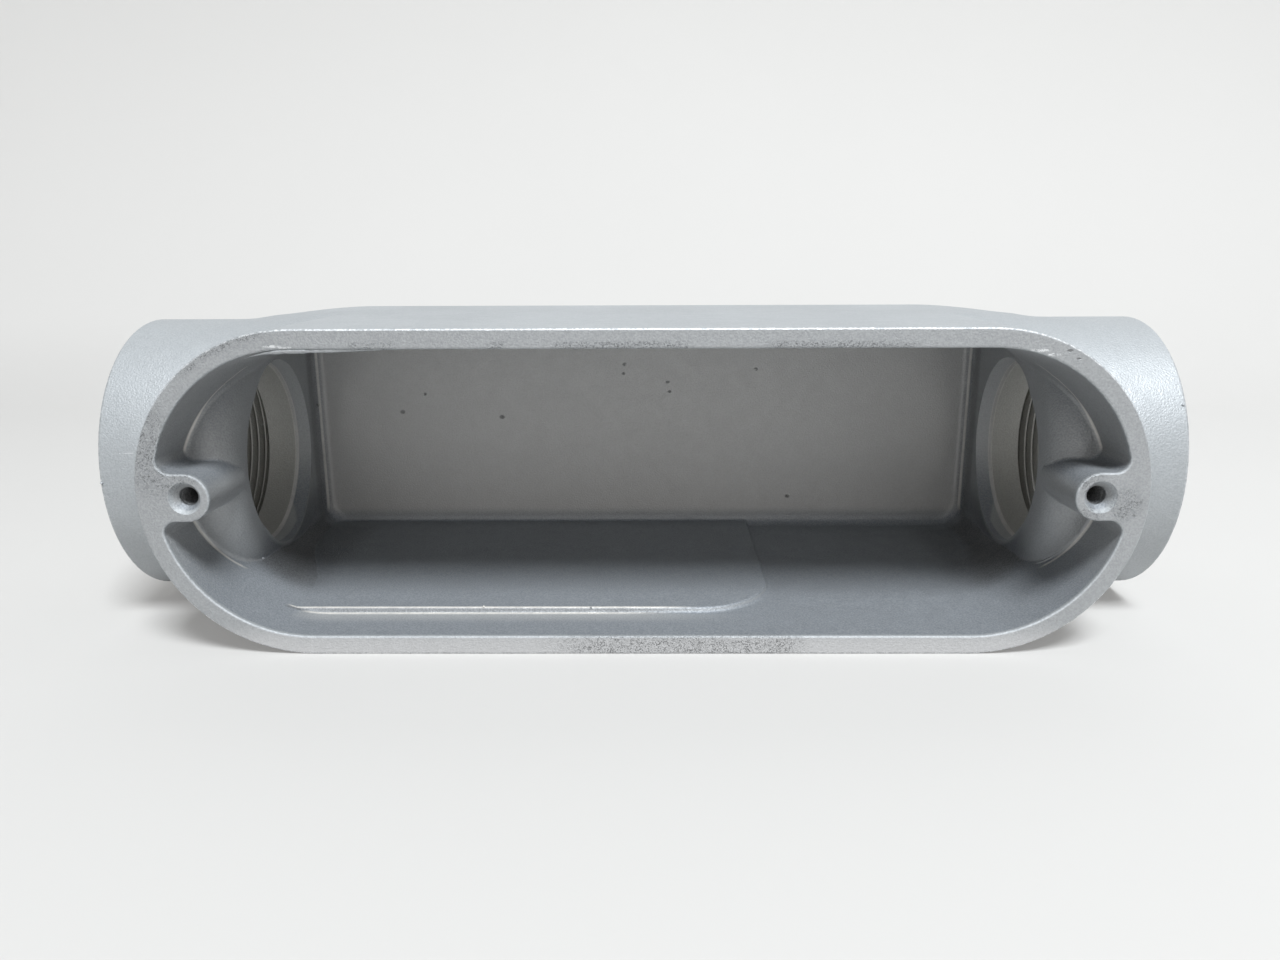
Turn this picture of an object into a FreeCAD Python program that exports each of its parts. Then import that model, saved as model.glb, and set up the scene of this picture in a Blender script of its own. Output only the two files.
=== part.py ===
import FreeCAD, Part
import os
from math import asin, cos, radians, sin, tan
from FreeCAD import Vector

# A cast aluminium conduit body for 2 inch conduit, open at the front for its cover.
# X runs along the conduit, Y goes from the cover face to the back wall and Z is up, as the body
# lies on its long side. The shapes are made with the cover face at Y = 0 and the conduit axis
# at Z = 0, and the finished casting is then moved so that its origin is the centre of its base.

# Thread bores in the hubs, as wide as the root of the thread. The conduit sets this size
thread_root_radius = 30.05
thread_length = 17.5
thread_mouth_chamfer = 0.8

# Hubs, and the necks that join them to the box
hub_wall = 7.15
hub_reach = 17.3
hub_front_depth = 15.95
hub_edge_radius = 0.8
neck_length = 27.0
neck_to_hub_end = 23.5
neck_steps = 8
# Power of the change by which a neck's back corners grow round, so that they stay square for long
neck_corner_lag = 6
root_radius = 6.0
root_inset = 0.05

# Rim and skirt around the cover opening, an obround
rim_over_hub = 1.6
rim_over_cavity = 13.0
rim_width = 4.5
rim_edge_radius = 0.5

# Box behind the rim
box_behind_hub = 1.35
body_back_radius = 6.0
back_wall = 4.0

# Cavity inside the skirt and the box. Its ends stay round down to the round depth and are
# square from the square depth on, and a short flat is kept on each round end
cavity_half_length = 104.2
cavity_corner_radius = 8.0
cavity_back_radius = 3.5
cavity_round_depth = 26.0
cavity_square_depth = 72.0
cavity_steps = 5
cavity_end_flat = 0.5
draft_angle = 1.3

# Throats between the cavity and the thread bores, and the hub faces that they open from
throat_step = 4.65
throat_mouth_length = 5.5
throat_mouth_step = 0.6
lip_roll_radius = 6.0
lip_offset = 5.0
hub_face_inset = 1.5

# Rounded shoulders over the hubs, seen from inside the cavity
shoulder_wall = 14.6
shoulder_lead = 2.4
shoulder_roll_radius = 8.0
shoulder_foot_radius = 1.0

# Bosses for the two cover screws
screw_inset = 11.5
boss_radius = 5.7
boss_depth = 20.5
boss_web_radius = 3.0
screw_hole_radius = 2.2
screw_hole_depth = 17.0
screw_point_angle = 31.0
countersink_radius = 3.85
countersink_depth = 2.4

# Raised pad on the lower wall of the cavity
pad_height = 1.3
pad_front_depth = 14.5
pad_right_x = 34.0
pad_corner_radius = 20.0
pad_edge_radius = 0.8

# How far a cutting shape runs past the surface that it opens
overrun = 1.0
tolerance = 0.01
# Edges of a shoulder's foot shorter than this along X stay sharp
shortest_foot = 0.25
# Half the angle that stands for each flat where the box's outline has become the hub's circle
neck_flat_angle = 10

# Sizes across the run that follow from the thread
hub_radius = thread_root_radius + hub_wall
rim_half_width = hub_radius + rim_over_hub
cavity_half_width = rim_half_width - rim_width
throat_radius = thread_root_radius - throat_step
shoulder_radius = throat_radius + shoulder_wall

# Depths from the cover face
hub_axis_depth = hub_front_depth + hub_radius
hub_back_depth = hub_axis_depth + hub_radius
body_depth = hub_back_depth + box_behind_hub
cavity_back = body_depth - back_wall
shoulder_crest = hub_axis_depth - shoulder_radius

# Distances along the run from the middle of the body
rim_half_length = cavity_half_length + rim_over_cavity
screw_half_spacing = rim_half_length - screw_inset
hub_end_x = rim_half_length + hub_reach
thread_start_x = hub_end_x - thread_length
neck_end_x = hub_end_x - neck_to_hub_end
neck_start_x = neck_end_x - neck_length
neck_lead = neck_length / neck_steps
hub_face_x = cavity_half_length - hub_face_inset
passage_start_x = hub_face_x - 2 * shoulder_roll_radius


def on_diagonal(radius):
    """Reach along each axis of a point on a circle at 45 degrees."""
    return radius * sin(radians(45))


def obround(half_length, half_width, depth, split_z):
    """Closed outline with round ends, each end divided at the heights split_z and -split_z."""
    centre = half_length - half_width
    split = asin(split_z / half_width)
    quarter = radians(90)

    def point(side, angle):
        return Vector(side * (centre + half_width * cos(angle)), depth, half_width * sin(angle))

    def arc(side, start, end):
        middle = point(side, (start + end) / 2)
        return Part.Arc(point(side, start), middle, point(side, end)).toShape()

    right = [arc(1, quarter, split), arc(1, split, -split), arc(1, -split, -quarter)]
    left = [arc(-1, -quarter, -split), arc(-1, -split, split), arc(-1, split, quarter)]
    top = Part.makeLine(point(-1, quarter), point(1, quarter))
    bottom = Part.makeLine(point(1, -quarter), point(-1, -quarter))
    return Part.Wire([top] + right + [bottom] + left)


def rounded_rectangle(half_length, half_width, corner, depth):
    """Closed outline with four round corners and the same run of edges as an obround."""
    x = half_length - corner
    z = half_width - corner

    def arc(side, up, from_tip):
        tip = Vector(side * x, depth, up * half_width)
        middle = Vector(side * (x + on_diagonal(corner)), depth, up * (z + on_diagonal(corner)))
        flank = Vector(side * half_length, depth, up * z)
        start, end = (tip, flank) if from_tip else (flank, tip)
        return Part.Arc(start, middle, end).toShape()

    def end_line(side, up):
        return Part.makeLine(Vector(side * half_length, depth, up * z),
                             Vector(side * half_length, depth, -up * z))

    top = Part.makeLine(Vector(-x, depth, half_width), Vector(x, depth, half_width))
    bottom = Part.makeLine(Vector(x, depth, -half_width), Vector(-x, depth, -half_width))
    right = [arc(1, 1, True), end_line(1, 1), arc(1, -1, False)]
    left = [arc(-1, -1, True), end_line(-1, -1), arc(-1, 1, False)]
    return Part.Wire([top] + right + [bottom] + left)


def edges_at_depth(shape, depth):
    """Edges that lie wholly in the plane Y = depth."""
    return [edge for edge in shape.Edges
            if abs(edge.BoundBox.YMin - depth) < tolerance
            and abs(edge.BoundBox.YMax - depth) < tolerance]


def hub_cylinder(radius, start_x, end_x, side):
    """Cylinder on the conduit axis, between two distances from the middle of the body."""
    return Part.makeCylinder(radius, end_x - start_x, Vector(side * start_x, hub_axis_depth, 0),
                             Vector(side, 0, 0))


def neck_section(x, share):
    """Outline across the run: round in front, and behind it a box whose corners grow round.

    A share of 0 is the box and a share of 1 is the hub's full circle.
    """
    half_width = rim_half_width + (hub_radius - rim_half_width) * share
    back = (body_depth - hub_axis_depth) * (1 - share) + hub_radius * share
    corner = body_back_radius + (hub_radius - body_back_radius) * share ** neck_corner_lag

    def point(reach, height):
        return Vector(x, hub_axis_depth + reach, height)

    def on_circle(degrees):
        angle = radians(degrees)
        return point(hub_radius * cos(angle), hub_radius * sin(angle))

    front = Part.Arc(point(0, -half_width), point(-half_width, 0), point(0, half_width)).toShape()
    if share == 1:
        flat = neck_flat_angle
        stops = (90, 90 - flat, flat, -flat, flat - 90, -90)
        back_arcs = [Part.Arc(on_circle(a), on_circle((a + b) / 2), on_circle(b)).toShape()
                     for a, b in zip(stops, stops[1:])]
        return Part.Wire([front] + back_arcs)
    reach = back - corner
    height = half_width - corner

    def corner_arc(up):
        tip = point(reach, up * half_width)
        middle = point(reach + on_diagonal(corner), up * (height + on_diagonal(corner)))
        heel = point(back, up * height)
        start, end = (tip, heel) if up > 0 else (heel, tip)
        return Part.Arc(start, middle, end).toShape()

    top = Part.makeLine(point(0, half_width), point(reach, half_width))
    rear = Part.makeLine(point(back, height), point(back, -height))
    bottom = Part.makeLine(point(reach, -half_width), point(0, -half_width))
    return Part.Wire([front, top, corner_arc(1), rear, corner_arc(-1), bottom])


def neck(side):
    """Smooth change from the box to the hub's circle, with a straight stretch at each end."""
    sections = [neck_section(side * (neck_start_x - neck_lead), 0)]
    for step in range(neck_steps + 1):
        t = step / neck_steps
        share = t * t * (3 - 2 * t)
        sections.append(neck_section(side * (neck_start_x + t * (neck_end_x - neck_start_x)), share))
    sections.append(neck_section(side * (neck_end_x + neck_lead), 1))
    return Part.makeLoft(sections, True, False)


def skirt():
    """Obround skirt from the rim to the conduit axis, blended into the hubs."""
    split_z = rim_half_width / 2
    outline = obround(rim_half_length, rim_half_width, 0, split_z)
    block = Part.Face(outline).extrude(Vector(0, 2 * hub_axis_depth, 0))
    half_run = hub_end_x - overrun
    tube = Part.makeCylinder(hub_radius - root_inset, 2 * half_run,
                             Vector(-half_run, hub_axis_depth, 0), Vector(1, 0, 0))
    tube.rotate(Vector(0, hub_axis_depth, 0), Vector(1, 0, 0), 90)
    block = block.fuse(tube)
    end_x = rim_half_length + tolerance
    meeting = [edge for edge in block.Edges
               if edge.BoundBox.XLength > tolerance and edge.BoundBox.YLength > tolerance
               and abs(edge.BoundBox.Center.x) < end_x
               and edge.BoundBox.YMin > hub_front_depth - tolerance
               and edge.BoundBox.YMax < hub_back_depth + tolerance]
    block = block.makeFillet(root_radius, meeting)
    behind = Part.makeBox(2 * hub_end_x, 2 * hub_axis_depth, 2 * rim_half_length,
                          Vector(-hub_end_x, hub_axis_depth, -rim_half_length))
    return block.cut(behind)


def outer_body():
    """Skirt, box, necks and hubs in one."""
    box_x = neck_start_x - neck_lead
    box = Part.Face(neck_section(-box_x, 0)).extrude(Vector(2 * box_x, 0, 0))
    parts = [skirt()]
    for side in (-1, 1):
        hub = hub_cylinder(hub_radius, neck_end_x + neck_lead, hub_end_x, side)
        rim_edge = [edge for edge in hub.Edges
                    if abs(abs(edge.BoundBox.Center.x) - hub_end_x) < tolerance]
        parts += [neck(side), hub.makeFillet(hub_edge_radius, rim_edge)]
    return box.fuse(parts)


def wall_narrowing(depth):
    """How far the drafted cavity wall has moved inwards at a depth."""
    return depth * tan(radians(draft_angle))


def cavity_section(depth, share):
    """Outline of the cavity at a depth, round-ended at a share of 0 and squarer up to 1."""
    half_width = cavity_half_width - wall_narrowing(depth)
    round_length = rim_half_length - rim_width - wall_narrowing(depth)
    round_corner = half_width - cavity_end_flat
    half_length = round_length + (cavity_half_length - round_length) * share
    corner = round_corner + (cavity_corner_radius - round_corner) * share
    return rounded_rectangle(half_length, half_width, corner, depth)


def cavity_body():
    """Drafted hollow, an obround at the cover face and a rounded rectangle at the back wall."""
    sections = [cavity_section(-overrun, 0)]
    for step in range(cavity_steps + 1):
        t = step / cavity_steps
        depth = cavity_round_depth + t * (cavity_square_depth - cavity_round_depth)
        sections.append(cavity_section(depth, t * t * (3 - 2 * t)))
    sections.append(cavity_section(cavity_back, 1))
    body = Part.makeLoft(sections, True, True)
    return body.makeFillet(cavity_back_radius, edges_at_depth(body, cavity_back))


def boss(side):
    """Round post and the web that ties it to the skirt."""
    height = boss_depth + overrun
    post = Part.makeCylinder(boss_radius, height, Vector(side * screw_half_spacing, -overrun, 0),
                             Vector(0, 1, 0))
    reach = rim_half_length - screw_half_spacing
    left = min(side * screw_half_spacing, side * rim_half_length)
    web = Part.makeBox(reach, height, 2 * boss_radius, Vector(left, -overrun, -boss_radius))
    return post.fuse(web)


def web_corners(core):
    """Edges where a boss web meets the skirt's inner wall."""
    return [edge for edge in core.Edges
            if abs(abs(edge.BoundBox.Center.z) - boss_radius) < tolerance
            and edge.BoundBox.ZLength < tolerance
            and edge.BoundBox.YLength > boss_depth
            and abs(edge.BoundBox.Center.x) > screw_half_spacing + tolerance]


def shoulder(side):
    """Material over the hub inside the cavity, a cylinder with a rolled inner end."""
    block = hub_cylinder(shoulder_radius, passage_start_x, hub_end_x, side)
    # The inner end leans, and reaches furthest into the cavity at the cover side
    reach = 2 * shoulder_radius
    near = Vector(side * (hub_face_x - shoulder_lead), shoulder_crest, -reach)
    middle = Vector(side * hub_face_x, hub_axis_depth, -reach)
    lean = (middle - near).normalize()
    front = near - lean * reach
    rear = middle + lean * reach
    inward = Vector(-side * reach, 0, 0)
    outline = Part.makePolygon([front, rear, rear + inward, front + inward, front])
    block = block.cut(Part.Face(outline).extrude(Vector(0, 0, 2 * reach)))
    inner_rim = [edge for edge in block.Edges
                 if edge.isClosed() and abs(edge.BoundBox.Center.x) < hub_end_x - overrun]
    return block.makeFillet(shoulder_roll_radius, inner_rim)


def shoulder_feet(core):
    """Edges where the shoulders meet the skirt's inner wall and the bosses."""
    return [edge for edge in core.Edges
            if edge.BoundBox.YMin > shoulder_crest - tolerance
            and edge.BoundBox.YMax < boss_depth + tolerance
            and edge.BoundBox.YLength > tolerance
            and edge.BoundBox.XLength > shortest_foot]


def pad():
    """Low step on the lower wall, its top parallel to the drafted wall."""
    back = cavity_back + overrun
    left = -cavity_half_length
    centre_x = pad_right_x - pad_corner_radius
    centre_y = pad_front_depth + pad_corner_radius
    floor = -rim_half_width
    front_end = Vector(centre_x, pad_front_depth, floor)
    corner_middle = Vector(centre_x + on_diagonal(pad_corner_radius),
                           centre_y - on_diagonal(pad_corner_radius), floor)
    side_start = Vector(pad_right_x, centre_y, floor)
    side_end = Vector(pad_right_x, back, floor)
    left_front = Vector(left, pad_front_depth, floor)
    left_back = Vector(left, back, floor)
    outline = [Part.makeLine(left_front, front_end),
               Part.Arc(front_end, corner_middle, side_start).toShape(),
               Part.makeLine(side_start, side_end),
               Part.makeLine(side_end, left_back),
               Part.makeLine(left_back, left_front)]
    block = Part.Face(Part.Wire(outline)).extrude(Vector(0, 0, rim_half_width))

    def top(depth):
        return -cavity_half_width + wall_narrowing(depth) + pad_height

    deep = back + overrun
    start_x = left - overrun
    profile = Part.makePolygon([Vector(start_x, 0, top(0)), Vector(start_x, deep, top(deep)),
                                Vector(start_x, deep, overrun), Vector(start_x, 0, overrun),
                                Vector(start_x, 0, top(0))])
    above = Part.Face(profile).extrude(Vector(pad_right_x - start_x + overrun, 0, 0))
    block = block.cut(above)
    top_edges = [edge for edge in block.Edges
                 if edge.BoundBox.ZMin > top(0) - tolerance
                 and edge.BoundBox.XMax > left + overrun
                 and edge.BoundBox.YMin < back - tolerance]
    return block.makeFillet(pad_edge_radius, top_edges)


def throat(side):
    """Passage from the cavity to the thread, wider at its mouth and rolled over in front."""
    bore = hub_cylinder(throat_radius, passage_start_x, thread_start_x + overrun, side)
    mouth_end_x = hub_face_x + throat_mouth_length
    mouth_radius = throat_radius + throat_mouth_step
    mouth = hub_cylinder(mouth_radius, passage_start_x, mouth_end_x, side)
    chamfer = Part.makeCone(mouth_radius, throat_radius, throat_mouth_step,
                            Vector(side * mouth_end_x, hub_axis_depth, 0), Vector(side, 0, 0))
    # The rolled lip is turned about an axis nearer the cover, so that it fades out behind
    axis = hub_axis_depth - lip_offset
    inner = throat_radius - lip_offset
    outer = inner + lip_roll_radius
    roll_start = hub_face_x - shoulder_lead
    roll_end = roll_start + lip_roll_radius

    def point(x, radius):
        return Vector(side * x, axis - radius, 0)

    arc_middle = point(roll_end - on_diagonal(lip_roll_radius), outer - on_diagonal(lip_roll_radius))
    outline = [Part.Arc(point(roll_end, inner), arc_middle, point(roll_start, outer)).toShape(),
               Part.makeLine(point(roll_start, outer), point(passage_start_x, outer)),
               Part.makeLine(point(passage_start_x, outer), point(passage_start_x, 0)),
               Part.makeLine(point(passage_start_x, 0), point(roll_end, 0)),
               Part.makeLine(point(roll_end, 0), point(roll_end, inner))]
    lip = Part.Face(Part.Wire(outline)).revolve(Vector(0, axis, 0), Vector(1, 0, 0), 360)
    return bore.fuse([mouth, chamfer, lip])


def thread_bore(side):
    """Straight bore at the root of the thread, with a chamfered mouth."""
    bore = hub_cylinder(thread_root_radius, thread_start_x, hub_end_x + overrun, side)
    depth = thread_mouth_chamfer + overrun
    mouth = Part.makeCone(thread_root_radius, thread_root_radius + depth, depth,
                          Vector(side * (hub_end_x - thread_mouth_chamfer), hub_axis_depth, 0),
                          Vector(side, 0, 0))
    return bore.fuse(mouth)


def core_body():
    """Everything that is hollow inside the casting, apart from the screw holes."""
    core = cavity_body().cut(pad())
    for side in (-1, 1):
        core = core.cut(boss(side))
    core = core.makeFillet(boss_web_radius, web_corners(core))
    for side in (-1, 1):
        core = core.cut(shoulder(side)).fuse([throat(side), thread_bore(side)])
    return core.makeFillet(shoulder_foot_radius, shoulder_feet(core))


def screw_hole(side):
    """Blind hole with a drill point and a countersunk mouth."""
    x = side * screw_half_spacing
    inward = Vector(0, 1, 0)
    hole = Part.makeCylinder(screw_hole_radius, screw_hole_depth + overrun,
                             Vector(x, -overrun, 0), inward)
    drill_point = Part.makeCone(screw_hole_radius, 0,
                                screw_hole_radius * tan(radians(screw_point_angle)),
                                Vector(x, screw_hole_depth, 0), inward)
    widening = (countersink_radius - screw_hole_radius) / countersink_depth * overrun
    sink = Part.makeCone(countersink_radius + widening, screw_hole_radius,
                         countersink_depth + overrun, Vector(x, -overrun, 0), inward)
    return hole.fuse([drill_point, sink])


def casting():
    """The finished casting, standing on its long side with its origin under its middle."""
    body = outer_body().cut(core_body())
    body = body.makeFillet(rim_edge_radius, edges_at_depth(body, 0))
    for side in (-1, 1):
        body = body.cut(screw_hole(side))
    body.translate(Vector(0, -body_depth / 2, rim_half_width))
    return body


os.makedirs("parts", exist_ok=True)
conduit_body = casting()
print("valid", conduit_body.isValid(), "solids", len(conduit_body.Solids),
      "faces", len(conduit_body.Faces), "volume", round(conduit_body.Volume))
conduit_body.exportStep("parts/conduit_body.step")
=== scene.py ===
import bpy
from math import cos, radians, sin
from mathutils import Matrix, Vector


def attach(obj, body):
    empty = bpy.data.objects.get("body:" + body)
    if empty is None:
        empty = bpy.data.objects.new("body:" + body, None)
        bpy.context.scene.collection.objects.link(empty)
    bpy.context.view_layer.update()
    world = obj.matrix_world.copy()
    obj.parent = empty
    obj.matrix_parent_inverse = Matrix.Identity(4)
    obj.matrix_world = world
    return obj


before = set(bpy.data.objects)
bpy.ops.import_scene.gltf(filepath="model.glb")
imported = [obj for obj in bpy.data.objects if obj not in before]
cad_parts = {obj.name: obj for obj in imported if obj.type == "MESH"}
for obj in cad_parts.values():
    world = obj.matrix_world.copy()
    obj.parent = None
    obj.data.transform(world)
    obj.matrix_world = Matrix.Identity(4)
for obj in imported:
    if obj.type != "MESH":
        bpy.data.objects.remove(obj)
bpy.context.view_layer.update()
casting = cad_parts["conduit_body"]


# Small helpers for the node trees

def addNode(tree, kind, settings=None, values=None):
    made = tree.nodes.new(kind)
    for name, value in (settings or {}).items():
        setattr(made, name, value)
    for name, value in (values or {}).items():
        connect(tree, value, made.inputs[name])
    return made


def connect(tree, value, socket):
    if isinstance(value, bpy.types.NodeSocket):
        tree.links.new(value, socket)
    else:
        socket.default_value = value


def calc(tree, operation, first, second=0.0):
    made = addNode(tree, "ShaderNodeMath", {"operation": operation})
    connect(tree, first, made.inputs[0])
    connect(tree, second, made.inputs[1])
    return made.outputs[0]


def fade(tree, value, start, end):
    # 0 before start and 1 after end, also when end is the lower one
    made = addNode(tree, "ShaderNodeMapRange", {"interpolation_type": "SMOOTHSTEP"},
                   {"Value": value, "From Min": start, "From Max": end})
    return made.outputs["Result"]


def product(tree, *masks):
    total = masks[0]
    for mask in masks[1:]:
        total = calc(tree, "MULTIPLY", total, mask)
    return total


def greatest(tree, *masks):
    most = masks[0]
    for mask in masks[1:]:
        most = calc(tree, "MAXIMUM", most, mask)
    return most


def between(tree, mask, least, most):
    return calc(tree, "ADD", calc(tree, "MULTIPLY", mask, most - least), least)


def blendColour(tree, share, under, over):
    made = addNode(tree, "ShaderNodeMix", {"data_type": "RGBA"})
    connect(tree, share, made.inputs["Factor"])
    connect(tree, under, made.inputs["A"])
    connect(tree, over, made.inputs["B"])
    return made.outputs["Result"]


def noiseAt(tree, place, scale, detail=2.0, roughness=0.5):
    made = addNode(tree, "ShaderNodeTexNoise", None,
                   {"Vector": place, "Scale": scale, "Detail": detail, "Roughness": roughness})
    return made.outputs["Fac"]


def reach(tree, across, up):
    pair = addNode(tree, "ShaderNodeCombineXYZ", None, {"X": across, "Y": up})
    made = addNode(tree, "ShaderNodeVectorMath", {"operation": "LENGTH"})
    connect(tree, pair.outputs["Vector"], made.inputs[0])
    return made.outputs["Value"]


def marks(tree, place, spots, stretch=(1.0, 1.0, 1.0)):
    # 1 near any of the spots
    scaled = addNode(tree, "ShaderNodeVectorMath", {"operation": "MULTIPLY"})
    connect(tree, place, scaled.inputs[0])
    scaled.inputs[1].default_value = stretch
    core = 0.45
    masks = []
    for *centre, radius in spots:
        made = addNode(tree, "ShaderNodeVectorMath", {"operation": "DISTANCE"})
        connect(tree, scaled.outputs["Vector"], made.inputs[0])
        made.inputs[1].default_value = [part * share for part, share in zip(centre, stretch)]
        masks.append(fade(tree, made.outputs["Value"], radius, radius * core))
    return greatest(tree, *masks)


# Helpers for the trees that make a mesh

def giveInputs(tree, kinds):
    for name, kind in kinds.items():
        tree.interface.new_socket(name=name, in_out="INPUT", socket_type="NodeSocket" + kind)
    tree.interface.new_socket(name="Geometry", in_out="OUTPUT", socket_type="NodeSocketGeometry")
    return addNode(tree, "NodeGroupInput").outputs


def finishTree(tree, geometry, finish):
    real = addNode(tree, "GeometryNodeRealizeInstances", None, {"Geometry": geometry})
    finished = addNode(tree, "GeometryNodeSetMaterial", None, {
        "Geometry": real.outputs["Geometry"], "Material": finish})
    result = addNode(tree, "NodeGroupOutput")
    tree.links.new(finished.outputs["Geometry"], result.inputs["Geometry"])


def bakeTree(name, tree, values, place, start=None):
    # Runs the tree on a start mesh, keeps the result as a plain mesh and puts it in place
    start = start or bpy.data.meshes.new(name + "Start")
    carrier = bpy.data.objects.new(name + "Carrier", start)
    bpy.context.scene.collection.objects.link(carrier)
    modifier = carrier.modifiers.new("shape", "NODES")
    modifier.node_group = tree
    for item in tree.interface.items_tree:
        if item.in_out == "INPUT" and item.name in values:
            modifier[item.identifier] = values[item.name]
    graph = bpy.context.evaluated_depsgraph_get()
    mesh = bpy.data.meshes.new_from_object(carrier.evaluated_get(graph))
    carrier.modifiers.remove(modifier)
    bpy.data.objects.remove(carrier)
    mesh.name = name
    mesh.transform(place)
    piece = bpy.data.objects.new(name, mesh)
    bpy.context.scene.collection.objects.link(piece)
    return piece


def settle(piece, smooth):
    for face in piece.data.polygons:
        face.use_smooth = smooth
    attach(piece, "root")


# Aluminium paint over a rough casting

paint = {
    "light": (0.375, 0.394, 0.409, 1.0),
    "dark": (0.342, 0.36, 0.375, 1.0),
    "inside": (0.345, 0.352, 0.358, 1.0),
    # Painted shade: the hollow's floor and the foot of its back wall are painted darker where the
    # inside lies in shade
    "floorShade": (0.218, 0.236, 0.258, 1.0),
    # Painted shade in the low corners beside the throats
    "lowCorner": (0.13, 0.139, 0.15, 1.0),
    # Painted shade on the upright fillets at the back corners, the domes around the throats and the
    # front of the pad
    "shade": (0.15, 0.152, 0.155, 1.0),
    # Painted light: the back wall, facing the front light, is painted lighter, with a warmer tint
    "backWallLight": (0.48, 0.475, 0.467, 1.0),
    # The rim's face is painted darker, a painted shade, and its low strip lighter, painted light
    # from the floor
    "rimFaceShade": (0.308, 0.317, 0.326, 1.0),
    "rimLowLight": (0.46, 0.46, 0.465, 1.0),
    "throat": (0.335, 0.329, 0.303, 1.0),
    # Painted highlight for the pale lines along fillets and edges, and before the pad
    "paleHighlight": (0.78, 0.75, 0.70, 1.0),
    "bare": (0.86, 0.87, 0.88, 1.0),
    # Dark grit on knocks and in pits, and painted shade in the low slopes and down the screw holes
    "grimeAndShade": (0.07, 0.07, 0.07, 1.0),
    "metallic": 0.4,
    "roughness": 0.56,
    "insideRoughness": 0.57,
    "roughnessSwing": 0.12,
    "dullEdge": 0.15,
    "wornGloss": 0.1,
    "lumpHeight": 0.00003,
    "peelHeight": 0.00012,
    "pitDepth": 0.0002,
    # Sizes of the casting that the zones are measured from
    "endCentre": 0.0784,
    "axisY": 0.0073,
    "axisZ": 0.0388,
    "screwX": 0.1057,
    "footLean": 0.0048,
    "leanHeight": 0.008,
    # Each noise has a scale, a detail and a roughness
    "noises": {
        "drift": (26.0, 3.0, 0.5), "flake": (2300.0, 1.0, 0.5), "peel": (2200.0, 1.0, 0.5),
        "lumps": (260.0, 3.0, 0.5), "rub": (420.0, 4.0, 0.7), "speck": (900.0, 5.0, 0.75),
        "chip": (1300.0, 4.0, 0.7), "grit": (3300.0, 3.0, 0.7), "spread": (60.0, 2.0, 0.5)},
    # Coats over the plain paint in their order, each with its share and its colour. After the
    # first, the coats are painted shade, except the back wall's painted light and the painted
    # highlight before the pad
    "coats": [
        ("inside", 0.8, "inside"), ("floor", 1.0, "floorShade"), ("backWallLight", 1.0, "backWallLight"),
        ("upright", 0.55, "shade"), ("lowCorner", 0.55, "lowCorner"), ("lowSlopeShade", 0.65, "grimeAndShade"),
        ("shoulderShade", 0.24, "shade"), ("padFrontShade", 0.6, "shade"), ("padHighlight", 0.2, "paleHighlight"),
        ("screwHoleShade", 0.75, "grimeAndShade"), ("backFootShade", 0.75, "floorShade")],
    "throatShare": 0.85,
    "flakeShare": 0.10,
    "edgeShare": (0.15, 0.85),
    "hubEndShare": 0.4,
    "nickShare": 0.75,
    "scratchShare": 0.5,
    "wornShare": 0.85,
    "postShare": 0.85,
    "patchShare": (0.3, 1.0),
    "knockShare": 0.7,
    "pitShare": 0.6,
    # Painted highlights along fillets and edges, in part also thin paint, each with its share
    "highlightLines": {"shoulderFoot": 1.0, "lip": 0.7, "corner": 0.8, "padFoot": 1.0, "padLip": 1.0},
    "lineShare": (0.28, 0.98),
    # Marks are given as x, y, z and a radius, and a stretch below 1 draws them out along x
    "pits": [(-0.0695, 0.0418, 0.0498, 0.0006), (-0.0769, 0.0418, 0.0440, 0.0009),
             (-0.0451, 0.0418, 0.0423, 0.0009), (0.0359, 0.0418, 0.0575, 0.0007),
             (-0.0056, 0.0418, 0.0591, 0.0007), (-0.0060, 0.0418, 0.0562, 0.0006),
             (0.0080, 0.0418, 0.0535, 0.0006), (0.0086, 0.0418, 0.0504, 0.0006),
             (0.0472, 0.0418, 0.0159, 0.0008), (-0.1035, 0.0404, 0.0466, 0.0007)],
    "pitStretch": (0.8, 1.0, 1.0),
    "nicks": [(-0.0820, -0.0459, 0.0738, 0.0004), (-0.0790, -0.0459, 0.0735, 0.00035),
              (0.0885, -0.0459, 0.0725, 0.00045), (0.0913, -0.0459, 0.0716, 0.0004),
              (-0.1188, 0.0372, 0.0410, 0.0008)],
    "nickStretch": (0.15, 1.0, 1.0),
    "dents": [(0.0951, -0.0459, 0.0724, 0.0004), (0.0972, -0.0459, 0.0706, 0.0003)],
    "dentStretch": (0.45, 1.0, 1.0),
    "postKnocks": [(-0.1095, -0.0459, 0.047, 0.011), (-0.112, -0.0459, 0.055, 0.007),
                   (0.1118, -0.0459, 0.0370, 0.005), (0.1030, -0.0459, 0.0425, 0.004),
                   (0.1035, -0.0459, 0.0345, 0.004)],
}

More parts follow.
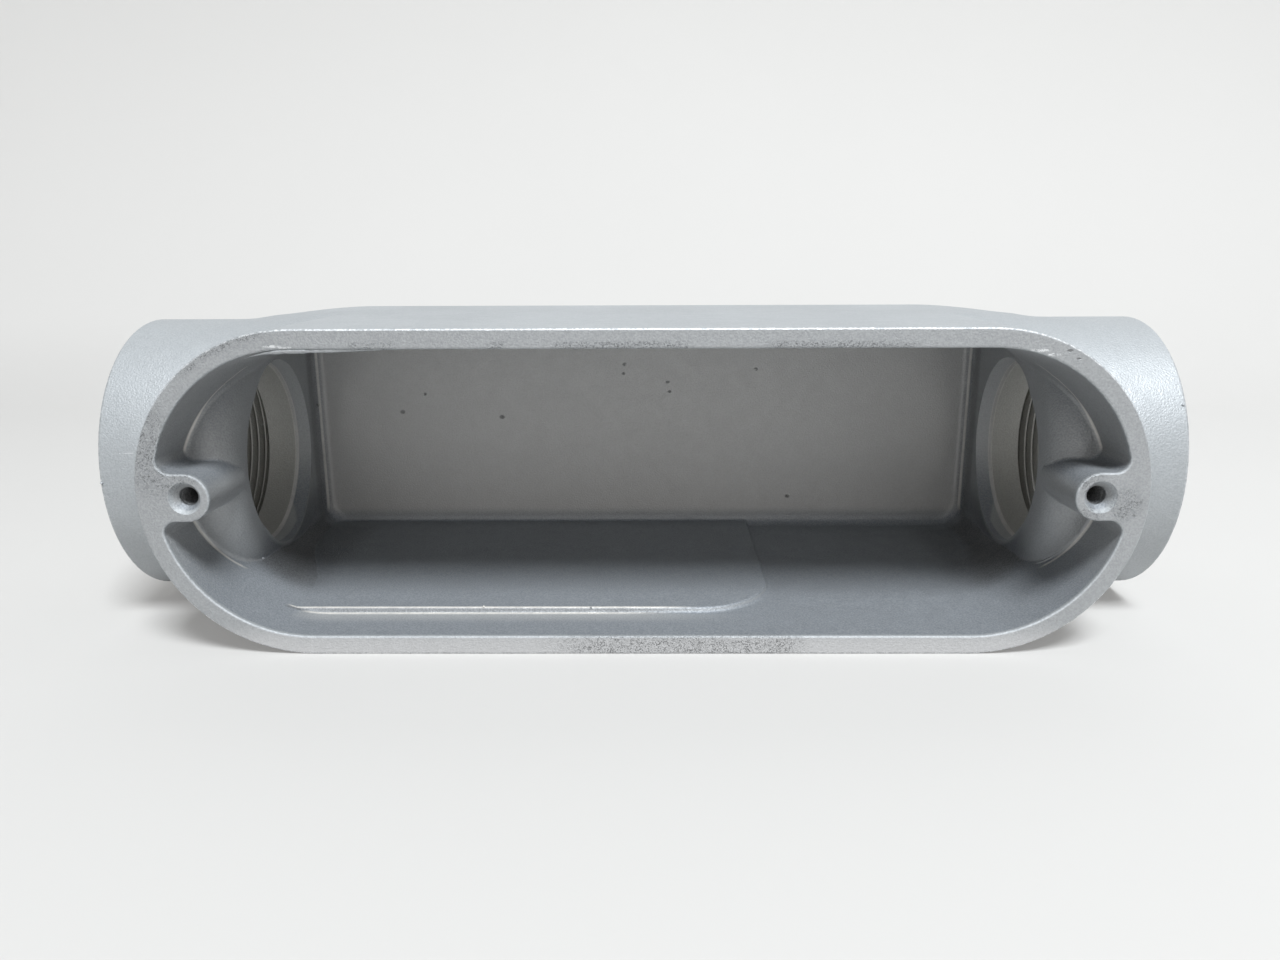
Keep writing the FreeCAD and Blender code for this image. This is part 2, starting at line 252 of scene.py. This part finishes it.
# Where each zone lies. A zone is the product of its parts: a part is the name of an earlier mask,
# or a measure, where it is 0 and where it is 1. The sizes are in metres
hollowZones = {
    "oval": [("fromRun", 0.0361, 0.0352), ("y", -0.0452, -0.0445)],
    "box": [("along", 0.1052, 0.1046), ("y", -0.014, -0.010), ("offAxis", 0.0362, 0.0355),
            ("outwards", 0.012, 0.006)],
    "ahead": [("y", 0.0437, 0.0427)],
    "bore": [("fromAxis", 0.0310, 0.0302)],
    "level": [("up", 0.15, 0.75)],
    "corners": [("z", 0.026, 0.013), ("y", -0.022, -0.008), ("fromAxis", 0.0262, 0.0275),
                ("tilt", 0.75, 0.45)],
}
paintZones = {
    "drifting": [("drift", 0.3, 0.7)],
    "flaking": [("flake", 0.3, 0.7)],
    "backWallLight": ["cavity", ("y", 0.034, 0.0405), ("tilt", 0.75, 0.97)],
    # Painted shade along the foot of the back wall
    "backFootShade": ["cavity", ("y", 0.034, 0.038), ("z", 0.0128, 0.0088)],
    # Painted shade on the upright fillets at the back corners
    "upright": ["cavity", ("along", 0.0985, 0.1002), ("y", 0.034, 0.0365), ("tilt", 0.985, 0.90)],
    # Painted shade in the low corners, darkest on their slopes
    "lowCorner": ["cavity", ("along", 0.083, 0.091), ("along", 0.1085, 0.105), ("z", 0.026, 0.014),
                  ("y", -0.024, -0.012), ("fromAxis", 0.0262, 0.0275), ("tilt", 0.75, 0.45)],
    "lowSlopeShade": ["lowCorner", ("sideways", 0.2, 0.5), ("up", 0.25, 0.55)],
    "shoulderShade": ["cavity", ("fromAxis", 0.028, 0.0405), ("along", 0.091, 0.098),
                     ("y", -0.004, -0.015), ("rise", -0.006, 0.008)],
    "padFrontShade": ["cavity", ("y", -0.0323, -0.0319), ("y", -0.0306, -0.0310), ("x", 0.014, -0.002),
                 ("z", 0.0072, 0.0066)],
    "padHighlight": ["cavity", ("y", -0.0385, -0.0332), ("y", -0.0320, -0.0326), ("z", 0.0062, 0.0056),
                ("x", 0.03, -0.005), ("x", -0.094, -0.080)],
    # Painted shade down the screw holes
    "screwHoleShade": [("fromScrew", 0.0024, 0.0021), ("y", -0.0445, -0.0435), ("y", -0.030, -0.032)],
    "rimFaceShade": [("y", -0.0452, -0.0457), ("tilt", 0.9, 0.99)],
    "rimLowLight": [("z", 0.009, 0.002)],
    "throat": ["bore", ("along", 0.1084, 0.1090)],
    "shoulderFoot": [("fromAxis", 0.0401, 0.0404), ("fromAxis", 0.0411, 0.0407),
                     ("footAlong", 0.1018, 0.1036), ("y", -0.008, -0.014), ("y", -0.0440, -0.0430),
                     ("offAxis", 0.0075, 0.0095), ("fromRun", 0.0374, 0.0367)],
    "lip": [("along", 0.1078, 0.1081), ("along", 0.1091, 0.1088), ("fromAxis", 0.0270, 0.0265)],
    "corner": ["cavity", ("along", 0.1026, 0.1029), ("along", 0.1035, 0.1032),
               ("y", 0.0396, 0.0402), ("z", 0.0105, 0.0145)],
    "padFoot": ["cavity", ("y", -0.0326, -0.0323), ("y", -0.0316, -0.0318), ("z", 0.0058, 0.0052),
                ("x", 0.012, -0.012)],
    "padLip": ["cavity", ("y", -0.0312, -0.0310), ("y", -0.0304, -0.0306), ("z", 0.0057, 0.0060),
               ("z", 0.0080, 0.0075), ("x", 0.016, 0.004), ("x", -0.0908, -0.0888)],
    "rimEdge": [("y", -0.0451, -0.0455), ("tilt", 0.995, 0.9), ("tilt", 0.05, 0.25)],
    "outerEdge": [("fromRun", 0.0370, 0.0380), ("along", 0.1135, 0.106)],
    "hubEnd": [("along", 0.1336, 0.1341), ("tilt", 0.999, 0.99), ("fromAxis", 0.0364, 0.0370)],
    "chipped": [("chip", 0.40, 0.62)],
    "nickSpeck": [("speck", 0.44, 0.52)],
    "scratch": [("along", 0.1252, 0.1256), ("along", 0.1292, 0.1288), ("x", -0.10, -0.12),
                ("y", 0.0, -0.01), ("z", 0.04580, 0.04592), ("z", 0.04612, 0.04600),
                ("speck", 0.40, 0.55)],
    "gritty": [("grit", 0.50, 0.60), ("y", -0.0440, -0.0452)],
    "patchy": [("speck", 0.42, 0.60)],
    "lowerKnock": [("x", -0.028, -0.008), ("x", 0.042, 0.034), ("z", 0.006, 0.003)],
    "upperKnock": [("x", -0.078, -0.06), ("x", 0.085, 0.05), ("z", 0.0726, 0.0731),
                   ("z", 0.0752, 0.0740), ("spread", 0.40, 0.55)],
    "bendKnock": [("x", -0.081, -0.086), ("x", -0.106, -0.100), ("fromRun", 0.0362, 0.0378),
                  ("z", 0.058, 0.064)],
    "pitSpeck": [("speck", 0.40, 0.47)],
}


def measures(tree, look):
    # Where a point lies on the casting, which way it faces and the noises there
    place = addNode(tree, "ShaderNodeTexCoord").outputs["Object"]
    x, y, z = addNode(tree, "ShaderNodeSeparateXYZ", None, {"Vector": place}).outputs
    normal = addNode(tree, "ShaderNodeNewGeometry").outputs["Normal"]
    facing = addNode(tree, "ShaderNodeSeparateXYZ", None, {"Vector": normal}).outputs
    along = calc(tree, "ABSOLUTE", x)
    rise = calc(tree, "SUBTRACT", z, look["axisZ"])
    pastEnd = calc(tree, "MAXIMUM", calc(tree, "SUBTRACT", along, look["endCentre"]), 0.0)
    leaning = fade(tree, rise, -look["leanHeight"], look["leanHeight"])
    lean = calc(tree, "MULTIPLY", leaning, look["footLean"])
    spot = {
        "place": place, "x": x, "y": y, "z": z, "along": along, "rise": rise,
        "up": facing["Z"],
        "tilt": calc(tree, "ABSOLUTE", facing["Y"]),
        "sideways": calc(tree, "ABSOLUTE", facing["X"]),
        "outwards": calc(tree, "MULTIPLY", rise, facing["Z"]),
        "offAxis": calc(tree, "ABSOLUTE", rise),
        "fromRun": reach(tree, pastEnd, rise),
        "fromAxis": reach(tree, calc(tree, "SUBTRACT", y, look["axisY"]), rise),
        "fromScrew": reach(tree, calc(tree, "SUBTRACT", along, look["screwX"]), rise),
        "footAlong": calc(tree, "ADD", along, lean),
    }
    for name, values in look["noises"].items():
        spot[name] = noiseAt(tree, place, *values)
    return spot


def addZones(tree, spot, zones):
    for name, parts in zones.items():
        masks = [spot[part] if isinstance(part, str) else fade(tree, spot[part[0]], *part[1:])
                 for part in parts]
        spot[name] = product(tree, *masks)


def addHollow(tree, spot):
    # The hollow is an oval in front and a box behind, and its low corners count as floor
    addZones(tree, spot, hollowZones)
    spot["cavity"] = product(tree, greatest(tree, spot["oval"], spot["box"]), spot["ahead"])
    spot["inside"] = greatest(tree, spot["cavity"], spot["bore"])
    spot["floor"] = product(tree, greatest(tree, spot["level"], spot["corners"]), spot["cavity"])


def coatedColour(tree, spot, look):
    # Plain paint, then the coats of the hollow, the face of the rim with its painted shade and the
    # painted light on its low strip, and the throats
    colour = blendColour(tree, spot["drifting"], look["dark"], look["light"])
    for name, share, shade in look["coats"]:
        colour = blendColour(tree, product(tree, spot[name], share), colour, look[shade])
    rimShadeAndLight = blendColour(tree, spot["rimLowLight"], look["rimFaceShade"], look["rimLowLight"])
    colour = blendColour(tree, spot["rimFaceShade"], colour, rimShadeAndLight)
    colour = blendColour(tree, product(tree, spot["throat"], look["throatShare"]), colour,
                         look["throat"])
    return blendColour(tree, product(tree, spot["flaking"], look["flakeShare"]), colour,
                       look["bare"])


def highlightMask(tree, spot, look):
    # Painted highlights along fillets and edges, broken up by the rubbing noise
    lines = [product(tree, spot[name], share) for name, share in look["highlightLines"].items()]
    return product(tree, greatest(tree, *lines), between(tree, spot["rub"], *look["lineShare"]))


def wornMask(tree, spot, look):
    # Rubbed through along the rim's edges, most on the outer one, on the hub ends and in nicks
    edgeShare = between(tree, spot["outerEdge"], *look["edgeShare"])
    edges = calc(tree, "ADD", product(tree, spot["rimEdge"], edgeShare),
                 product(tree, spot["hubEnd"], look["hubEndShare"]))
    nicks = marks(tree, spot["place"], look["nicks"], look["nickStretch"])
    return greatest(tree, product(tree, edges, spot["chipped"]),
                    product(tree, nicks, spot["nickSpeck"], look["nickShare"]),
                    product(tree, spot["scratch"], look["scratchShare"]))


def darkMask(tree, spot, look):
    # Grit where the rim has been knocked, and pits in the walls
    posts = calc(tree, "ADD", marks(tree, spot["place"], look["postKnocks"]), spot["bendKnock"])
    where = calc(tree, "ADD", calc(tree, "ADD", spot["lowerKnock"], spot["upperKnock"]),
                 product(tree, posts, look["postShare"]))
    patch = between(tree, spot["patchy"], *look["patchShare"])
    knocks = product(tree, spot["gritty"], patch, calc(tree, "MINIMUM", where, 1.0))
    pits = greatest(tree, marks(tree, spot["place"], look["pits"], look["pitStretch"]),
                    marks(tree, spot["place"], look["dents"], look["dentStretch"]))
    return greatest(tree, product(tree, knocks, look["knockShare"]),
                    product(tree, pits, spot["pitSpeck"], look["pitShare"]))


def paintRoughness(tree, spot, look, worn):
    swing = product(tree, calc(tree, "SUBTRACT", spot["lumps"], 0.5), look["roughnessSwing"] * 2)
    innerEdge = calc(tree, "SUBTRACT", spot["rimEdge"],
                     product(tree, spot["rimEdge"], spot["outerEdge"]))
    rougher = calc(tree, "ADD", product(tree, innerEdge, look["dullEdge"]),
                   product(tree, spot["inside"], look["insideRoughness"] - look["roughness"]))
    dull = calc(tree, "ADD", calc(tree, "ADD", swing, rougher), look["roughness"])
    return calc(tree, "SUBTRACT", dull, product(tree, worn, look["wornGloss"]))


def castingPaint(name, look):
    material = bpy.data.materials.new(name)
    material.use_nodes = True
    tree = material.node_tree
    shader = tree.nodes["Principled BSDF"]
    spot = measures(tree, look)
    addHollow(tree, spot)
    addZones(tree, spot, paintZones)
    worn = wornMask(tree, spot, look)
    dark = darkMask(tree, spot, look)
    colour = coatedColour(tree, spot, look)
    colour = blendColour(tree, highlightMask(tree, spot, look), colour, look["paleHighlight"])
    colour = blendColour(tree, product(tree, worn, look["wornShare"]), colour, look["bare"])
    colour = blendColour(tree, dark, colour, look["grimeAndShade"])
    connect(tree, colour, shader.inputs["Base Color"])
    connect(tree, paintRoughness(tree, spot, look, worn), shader.inputs["Roughness"])
    shader.inputs["Metallic"].default_value = look["metallic"]

    rolling = addNode(tree, "ShaderNodeBump", None,
                      {"Height": spot["lumps"], "Distance": look["lumpHeight"], "Strength": 1.0})
    fine = addNode(tree, "ShaderNodeBump", None,
                   {"Height": spot["peel"], "Distance": look["peelHeight"], "Strength": 1.0,
                    "Normal": rolling.outputs["Normal"]})
    sunk = addNode(tree, "ShaderNodeBump", {"invert": True},
                   {"Height": dark, "Distance": look["pitDepth"], "Strength": 1.0,
                    "Normal": fine.outputs["Normal"]})
    connect(tree, sunk.outputs["Normal"], shader.inputs["Normal"])
    return material


paintMaterial = castingPaint("aluminiumPaint", paint)
for slot in casting.material_slots:
    slot.material = paintMaterial
if not casting.material_slots:
    casting.data.materials.append(paintMaterial)
print("casting painted")


# The conduit thread in each hub and the screw threads in the bosses

hubThread = {
    "axisY": 0.0073,
    "axisZ": 0.0388,
    "startX": 0.1174,
    "pitch": 0.002209,
    "turns": 7.4,
    "rootRadius": 0.0301,
    "height": 0.00177,
    "crestWidth": 0.00035,
    "taper": 0.03125,
    "stepsPerTurn": 96,
}

screwThread = {
    "holeX": 0.1057,
    "startY": -0.0427,
    "axisZ": 0.0388,
    "pitch": 0.0008,
    "turns": 16,
    "rootRadius": 0.00222,
    "height": 0.00026,
    "crestWidth": 0.0001,
    "taper": 0.0,
    "stepsPerTurn": 32,
}


# A ridge grows from a thin end over half a turn, and its foot takes nearly a whole pitch
ridgeShape = {"footShare": 0.96, "growthTurns": 0.5, "thinEnd": 0.05}


def threadTree(shape):
    tree = bpy.data.node_groups.new("threadTurns", "GeometryNodeTree")
    given = giveInputs(tree, {
        "Turns": "Float", "Pitch": "Float", "Start Radius": "Float", "End Radius": "Float",
        "Height": "Float", "Crest Width": "Float", "Steps": "Int", "Finish": "Material"})

    run = calc(tree, "MULTIPLY", given["Turns"], given["Pitch"])
    coil = addNode(tree, "GeometryNodeCurveSpiral", None, {
        "Resolution": given["Steps"], "Rotations": given["Turns"],
        "Start Radius": given["Start Radius"], "End Radius": given["End Radius"], "Height": run,
        "Reverse": True})
    upright = addNode(tree, "GeometryNodeSetCurveNormal", {"mode": "Z_UP"},
                      {"Curve": coil.outputs["Curve"]})
    # The ridge thins out towards both of its ends
    along = addNode(tree, "GeometryNodeSplineParameter").outputs["Factor"]
    turnsIn = calc(tree, "MULTIPLY", along, given["Turns"])
    turnsLeft = calc(tree, "SUBTRACT", given["Turns"], turnsIn)
    nearest = calc(tree, "MINIMUM", turnsIn, turnsLeft)
    growth = addNode(tree, "ShaderNodeMapRange", None,
                     {"Value": nearest, "From Min": 0.0, "From Max": shape["growthTurns"],
                      "To Min": shape["thinEnd"]})

    ridge = addNode(tree, "GeometryNodeCurvePrimitiveQuadrilateral", {"mode": "TRAPEZOID"}, {
        "Height": given["Height"], "Top Width": given["Crest Width"], "Offset": 0.0,
        "Bottom Width": calc(tree, "MULTIPLY", given["Pitch"], shape["footShare"])})
    lift = addNode(tree, "ShaderNodeCombineXYZ", None, {
        "Y": calc(tree, "MULTIPLY", given["Height"], 0.5)})
    raised = addNode(tree, "GeometryNodeTransform", None, {
        "Geometry": ridge.outputs["Curve"], "Translation": lift.outputs["Vector"]})
    turned = addNode(tree, "GeometryNodeTransform", None, {
        "Geometry": raised.outputs["Geometry"], "Rotation": (0.0, 0.0, radians(90))})
    swept = addNode(tree, "GeometryNodeCurveToMesh", None, {
        "Curve": upright.outputs["Curve"], "Profile Curve": turned.outputs["Geometry"],
        "Scale": growth.outputs["Result"], "Fill Caps": True})
    finishTree(tree, swept.outputs["Mesh"], given["Finish"])
    return tree


def threadPiece(name, tree, size, place):
    # The taper narrows the radius from the mouth inwards, and a thread starts at its inner end
    run = size["turns"] * size["pitch"]
    piece = bakeTree(name, tree, {
        "Turns": size["turns"], "Pitch": size["pitch"],
        "Start Radius": size["rootRadius"] - size["taper"] * run,
        "End Radius": size["rootRadius"], "Height": size["height"],
        "Crest Width": size["crestWidth"], "Steps": size["stepsPerTurn"],
        "Finish": paintMaterial}, place)
    settle(piece, False)


turnsTree = threadTree(ridgeShape)
outward = Matrix.Rotation(radians(90), 4, "Y")
for side, hubName in ((-1, "leftHubThread"), (1, "rightHubThread")):
    centre = Vector((side * hubThread["startX"], hubThread["axisY"], hubThread["axisZ"]))
    facing = Matrix.Rotation(radians(0 if side > 0 else 180), 4, "Z")
    threadPiece(hubName, turnsTree, hubThread, Matrix.Translation(centre) @ facing @ outward)

inward = Matrix.Rotation(radians(-90), 4, "X")
for side, screwName in ((-1, "leftScrewThread"), (1, "rightScrewThread")):
    mouth = Vector((side * screwThread["holeX"], screwThread["startY"], screwThread["axisZ"]))
    threadPiece(screwName, turnsTree, screwThread, Matrix.Translation(mouth) @ inward)
print("threads cut")


# Burrs and nibs that the casting and its paint kept

burrs = {
    "rimFlash": {"height": 0.00062, "seed": 3, "points": [
        (-0.0896, -0.0451, 0.0707), (-0.0870, -0.0451, 0.0716), (-0.0840, -0.0451, 0.0723),
        (-0.0800, -0.0451, 0.07265), (-0.0700, -0.0451, 0.0728), (-0.0600, -0.0451, 0.0730),
        (-0.0500, -0.0451, 0.0732), (-0.0430, -0.0451, 0.0734)]},
    "footBurr": {"height": 0.00035, "seed": 8, "points": [
        (0.1020, -0.0222, 0.0145), (0.1036, -0.0243, 0.0160), (0.1048, -0.0257, 0.0175),
        (0.1061, -0.0275, 0.0198), (0.1072, -0.0288, 0.0222)]},
}

beadShape = {
    "samples": 90,
    "sides": 10,
    "swellUp": (0.0, 0.22),
    "swellDown": (1.0, 0.2),
    "raggedScale": 700.0,
    "raggedShare": (0.5, 1.4),
    "thinnest": 0.00001,
}

nibs = {
    "seed": 5,
    "roughness": 0.35,
    "bumpScale": 1800.0,
    "bumpCentre": 0.6,
    "bumpReach": 0.002,
    "spin": 6.28,
    "spots": [(-0.1035, 0.0404, 0.0466, 0.00055), (-0.1016, -0.0164, 0.0143, 0.00045),
              (-0.1118, -0.0454, 0.0210, 0.00032), (0.1334, -0.0252, 0.0568, 0.00045),
              (-0.1340, -0.0299, 0.0386, 0.00042), (0.1044, -0.0259, 0.0606, 0.0004),
              (-0.1030, -0.0250, 0.0624, 0.0004), (-0.0402, -0.0308, 0.0061, 0.0004),
              (-0.0129, -0.0310, 0.0060, 0.00035)],
}


def burrTree(shape):
    tree = bpy.data.node_groups.new("burrAlongPath", "GeometryNodeTree")
    given = giveInputs(tree, {"Geometry": "Geometry", "Height": "Float", "Seed": "Float",
                              "Finish": "Material"})

    path = addNode(tree, "GeometryNodeMeshToCurve", None, {"Mesh": given["Geometry"]})
    even = addNode(tree, "GeometryNodeResampleCurve", None,
                   {"Curve": path.outputs["Curve"], "Count": shape["samples"]})
    # Thickest a quarter of the way along, ragged everywhere and gone at both ends
    along = addNode(tree, "GeometryNodeSplineParameter").outputs["Factor"]
    swell = product(tree, fade(tree, along, *shape["swellUp"]),
                    fade(tree, along, *shape["swellDown"]))
    ragged = addNode(tree, "ShaderNodeTexNoise", {"noise_dimensions": "4D"},
                     {"W": given["Seed"], "Scale": shape["raggedScale"],
                      "Detail": 2.0}).outputs["Fac"]
    spread = between(tree, ragged, *shape["raggedShare"])
    width = greatest(tree, product(tree, swell, spread, given["Height"]), shape["thinnest"])
    bead = addNode(tree, "GeometryNodeCurvePrimitiveCircle", None,
                   {"Resolution": shape["sides"], "Radius": 1.0})
    swept = addNode(tree, "GeometryNodeCurveToMesh", None, {
        "Curve": even.outputs["Curve"], "Profile Curve": bead.outputs["Curve"], "Scale": width,
        "Fill Caps": True})
    finishTree(tree, swept.outputs["Mesh"], given["Finish"])
    return tree


def nibTree(shape):
    tree = bpy.data.node_groups.new("nibsOnPoints", "GeometryNodeTree")
    given = giveInputs(tree, {"Geometry": "Geometry", "Seed": "Int", "Roughness": "Float",
                              "Finish": "Material"})

    lump = addNode(tree, "GeometryNodeMeshIcoSphere", None, {"Radius": 1.0, "Subdivisions": 3})
    size = addNode(tree, "GeometryNodeInputNamedAttribute", {"data_type": "FLOAT"},
                   {"Name": "radius"}).outputs["Attribute"]
    turn = addNode(tree, "FunctionNodeRandomValue", {"data_type": "FLOAT_VECTOR"})
    turn.inputs["Max"].default_value = (shape["spin"],) * 3
    tree.links.new(given["Seed"], turn.inputs["Seed"])
    placed = addNode(tree, "GeometryNodeInstanceOnPoints", None, {
        "Points": given["Geometry"], "Instance": lump.outputs["Mesh"],
        "Rotation": turn.outputs["Value"], "Scale": size})
    real = addNode(tree, "GeometryNodeRealizeInstances", None,
                   {"Geometry": placed.outputs["Instances"]})
    where = addNode(tree, "GeometryNodeInputPosition").outputs["Position"]
    outward = addNode(tree, "GeometryNodeInputNormal").outputs["Normal"]
    bumps = calc(tree, "SUBTRACT", noiseAt(tree, where, shape["bumpScale"]), shape["bumpCentre"])
    push = product(tree, bumps, given["Roughness"], shape["bumpReach"])
    offset = addNode(tree, "ShaderNodeVectorMath", {"operation": "SCALE"},
                     {"Vector": outward, "Scale": push})
    moved = addNode(tree, "GeometryNodeSetPosition", None, {
        "Geometry": real.outputs["Geometry"], "Offset": offset.outputs["Vector"]})
    finishTree(tree, moved.outputs["Geometry"], given["Finish"])
    return tree


pathTree = burrTree(beadShape)
for name, burr in burrs.items():
    path = bpy.data.meshes.new(name + "Path")
    path.from_pydata(burr["points"], [(i, i + 1) for i in range(len(burr["points"]) - 1)], [])
    piece = bakeTree(name, pathTree, {"Height": burr["height"], "Seed": burr["seed"],
                                      "Finish": paintMaterial}, Matrix(), path)
    settle(piece, True)

spots = bpy.data.meshes.new("nibSpots")
spots.from_pydata([spot[:3] for spot in nibs["spots"]], [], [])
radii = spots.attributes.new("radius", "FLOAT", "POINT")
radii.data.foreach_set("value", [spot[3] for spot in nibs["spots"]])
nibPiece = bakeTree("castingNibs", nibTree(nibs), {
    "Seed": nibs["seed"], "Roughness": nibs["roughness"], "Finish": paintMaterial}, Matrix(), spots)
settle(nibPiece, True)
print("burrs and nibs added")


# Paper sweep, camera and lights

sweep = {
    "colour": (0.572, 0.564, 0.552, 1.0),
    # A glow of the paper's own that stands in for fill light
    "fillGlow": (0.80, 0.79, 0.775, 1.0),
    "fillGlowShare": 0.25,
    "halfWidth": 1.6,
    "front": -1.2,
    "bendStart": 0.30,
    "bendRadius": 0.35,
    "bendSteps": 24,
    "height": 1.6,
    "roughness": 0.75,
    "mottleScale": 5.0,
    "mottleShade": 0.97,
    # Painted shade: the floor darker on the left
    "leftShade": 0.9,
    "leftShadeAcross": (0.3, -0.45),
    "leftShadeBelow": (0.05, 0.0),
}


def sweepMesh(size):
    profile = [(size["front"], 0.0), (size["bendStart"], 0.0)]
    for step in range(1, size["bendSteps"] + 1):
        angle = radians(90) * step / size["bendSteps"]
        profile.append((size["bendStart"] + size["bendRadius"] * sin(angle),
                        size["bendRadius"] * (1 - cos(angle))))
    profile.append((profile[-1][0], size["height"]))
    points = [(side * size["halfWidth"], y, z) for y, z in profile for side in (-1, 1)]
    faces = [(2 * i, 2 * i + 1, 2 * i + 3, 2 * i + 2) for i in range(len(profile) - 1)]
    mesh = bpy.data.meshes.new("paperSweep")
    mesh.from_pydata(points, [], faces)
    for face in mesh.polygons:
        face.use_smooth = True
    return mesh


def shaded(colour, share):
    return tuple(share * part for part in colour[:3]) + (1.0,)


def palePaper(name, look):
    material = bpy.data.materials.new(name)
    material.use_nodes = True
    tree = material.node_tree
    shader = tree.nodes["Principled BSDF"]
    place = addNode(tree, "ShaderNodeTexCoord").outputs["Object"]
    mottle = noiseAt(tree, place, look["mottleScale"], 3.0)
    colour = blendColour(tree, mottle, shaded(look["colour"], look["mottleShade"]), look["colour"])
    # The floor is painted a little darker on the left, a painted shade
    sides = addNode(tree, "ShaderNodeSeparateXYZ", None, {"Vector": place}).outputs
    shadedLeft = product(tree, fade(tree, sides["X"], *look["leftShadeAcross"]),
                     fade(tree, sides["Z"], *look["leftShadeBelow"]))
    colour = blendColour(tree, shadedLeft, colour, shaded(look["colour"], look["leftShade"]))
    connect(tree, colour, shader.inputs["Base Color"])
    shader.inputs["Roughness"].default_value = look["roughness"]
    # Part of what the camera and gloss see of the paper glows by itself, a painted fill light, so
    # shadows stay thin
    rays = addNode(tree, "ShaderNodeLightPath").outputs
    seen = greatest(tree, rays["Is Camera Ray"], rays["Is Glossy Ray"], rays["Is Transmission Ray"])
    fillGlow = addNode(tree, "ShaderNodeEmission")
    fillGlow.inputs["Color"].default_value = look["fillGlow"]
    fillGlow.inputs["Strength"].default_value = 1.0
    both = addNode(tree, "ShaderNodeMixShader")
    connect(tree, calc(tree, "MULTIPLY", seen, look["fillGlowShare"]), both.inputs[0])
    connect(tree, shader.outputs["BSDF"], both.inputs[1])
    connect(tree, fillGlow.outputs["Emission"], both.inputs[2])
    connect(tree, both.outputs["Shader"], tree.nodes["Material Output"].inputs["Surface"])
    return material


paperMesh = sweepMesh(sweep)
paperMesh.materials.append(palePaper("palePaper", sweep))
paper = bpy.data.objects.new("paperSweep", paperMesh)
bpy.context.scene.collection.objects.link(paper)

view = {
    "place": (0.00159, -0.2542, 0.0947),
    "turn": (76.094, 0.2, 0.432),
    "lens": 26.31,
    "sensor": 36.0,
    "nearest": 0.01,
}
cameraData = bpy.data.cameras.new("camera")
cameraData.lens = view["lens"]
cameraData.sensor_width = view["sensor"]
cameraData.clip_start = view["nearest"]
camera = bpy.data.objects.new("camera", cameraData)
camera.location = view["place"]
camera.rotation_euler = [radians(angle) for angle in view["turn"]]
bpy.context.scene.collection.objects.link(camera)
bpy.context.scene.camera = camera

lamps = {
    "ceiling": {"width": 0.75, "height": 0.75, "power": 91.0, "place": (0.35, -1.15, 2.15),
                "aim": (0.0, 0.0, 0.0), "colour": (0.94, 0.975, 1.0)},
    "window": {"width": 3.0, "height": 1.1, "power": 8.0, "place": (0.15, -1.8, 0.62),
               "aim": (0.0, 0.0, 0.04), "colour": (1.0, 0.98, 0.95)},
}
for name, lamp in lamps.items():
    data = bpy.data.lights.new(name, "AREA")
    data.shape = "RECTANGLE"
    data.size = lamp["width"]
    data.size_y = lamp["height"]
    data.energy = lamp["power"]
    data.color = lamp["colour"]
    made = bpy.data.objects.new(name, data)
    made.location = lamp["place"]
    towards = Vector(lamp["aim"]) - Vector(lamp["place"])
    made.rotation_euler = towards.to_track_quat("-Z", "Y").to_euler()
    bpy.context.scene.collection.objects.link(made)

room = {"strength": 0.15, "colour": (1.0, 1.0, 1.0, 1.0)}
world = bpy.data.worlds.new("room")
world.use_nodes = True
background = world.node_tree.nodes["Background"]
background.inputs["Color"].default_value = room["colour"]
background.inputs["Strength"].default_value = room["strength"]
bpy.context.scene.world = world
bpy.context.scene.view_settings.view_transform = "Standard"
print("stage, camera and lights set")
